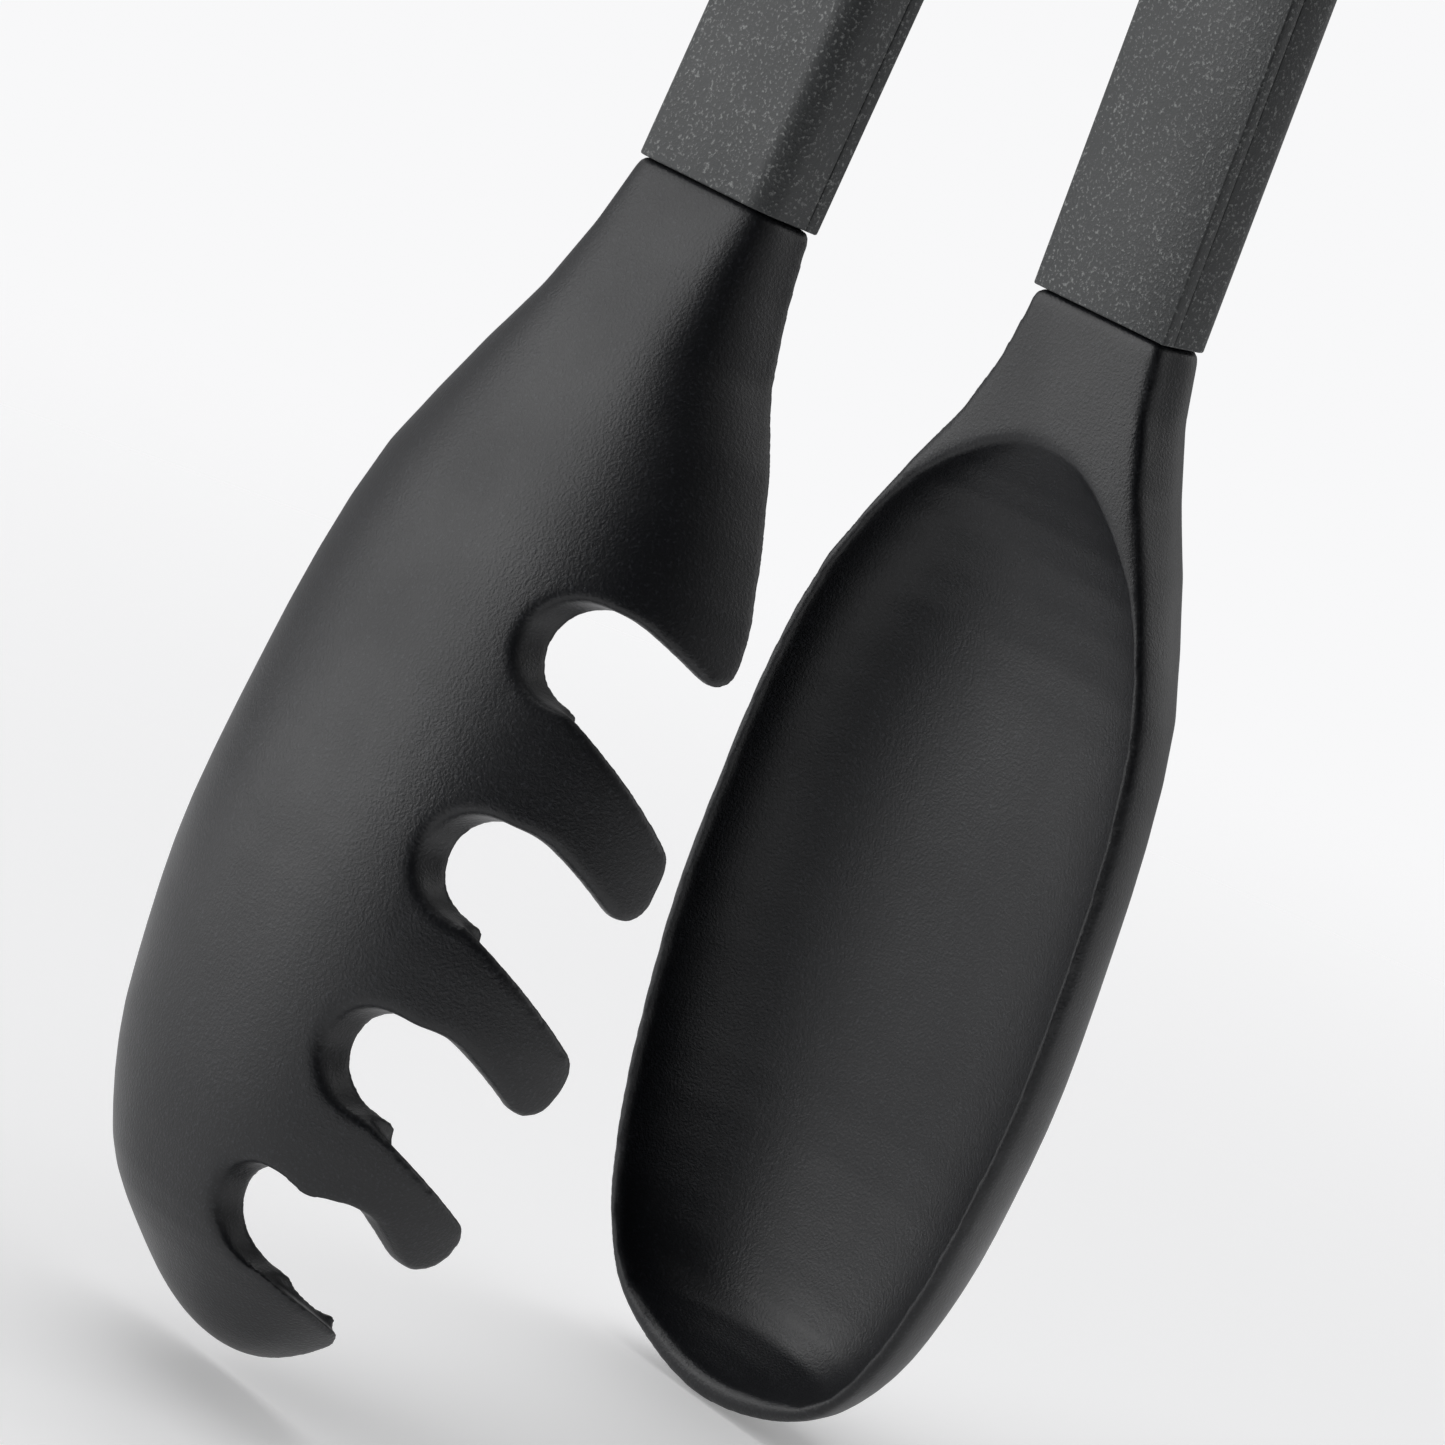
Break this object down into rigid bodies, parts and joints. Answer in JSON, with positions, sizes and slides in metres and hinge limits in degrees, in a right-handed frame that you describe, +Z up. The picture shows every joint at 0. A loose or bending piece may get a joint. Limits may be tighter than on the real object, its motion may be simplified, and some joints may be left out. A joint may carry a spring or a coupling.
{
  "type": "spring loaded kitchen tongs",
  "caption": "Spring loaded kitchen tongs with one spoon shaped head, one slotted claw head, soft grips and a pull tab lock that also hangs them.",
  "frame": {"origin": "centre of the hole through the pull tab's eyelet, which the tongs hang by", "axes": "+Z up along the closed tongs with the heads down, +X towards the spoon arm, Y along the hinge pin"},
  "size_m": [0.0973, 0.0524, 0.3111],
  "materials": {
    "head_nylon": "fine moulded grain",
    "grip_nylon": "fine speckled grain",
    "steel_arm": "brushed lengthways",
    "steel_lock": "brushed",
    "steel_pin": "turned",
    "spring_wire": "drawn",
    "tab_nylon": "fine moulded grain",
    "spool_nylon": "plain moulded"
  },
  "bodies": {
    "pivot": {"hinge_pin": "steel_pin", "pin_cap": "steel_pin", "spring_spools": "spool_nylon"},
    "spoon_arm": {"spoon_head": "head_nylon", "spoon_grip_back": "grip_nylon", "spoon_grip_face": "grip_nylon", "spoon_arm_core": "steel_arm", "spoon_head_rivets": "steel_pin", "spoon_grip_rivet": "steel_pin", "spoon_spring": "spring_wire"},
    "fork_arm": {"fork_head": "head_nylon", "fork_grip_back": "grip_nylon", "fork_grip_face": "grip_nylon", "fork_arm_core": "steel_arm", "fork_head_rivets": "steel_pin", "fork_grip_rivet": "steel_pin", "fork_spring": "spring_wire"},
    "lock": {"lock_strip": "steel_lock", "lock_bar": "steel_pin", "pull_tab": "tab_nylon", "tab_rivets": "steel_pin", "hang_eyelet": "steel_lock"}
  },
  "joints": [
    {"name": "spoon_hinge", "type": "hinge", "parent": "pivot", "child": "spoon_arm", "pos_m": [0, 0, -0.026], "axis": [0, 1, 0], "range_deg": [0, 6.55], "stiffness_Nm_per_rad": 2, "springref_deg": -1.72, "deforming": ["spoon_spring"]},
    {"name": "fork_hinge", "type": "hinge", "parent": "pivot", "child": "fork_arm", "pos_m": [0, 0, -0.026], "axis": [0, -1, 0], "range_deg": [0, 6.55], "stiffness_Nm_per_rad": 2, "springref_deg": -1.72, "deforming": ["fork_spring"]},
    {"name": "lock_slide", "type": "slide", "parent": "pivot", "child": "lock", "axis": [0, 0, 1], "range_m": [0, 0.0055]}
  ],
  "couplings": [
    {"joint": "fork_hinge", "follows": "spoon_hinge", "ratio": 1}
  ]
}
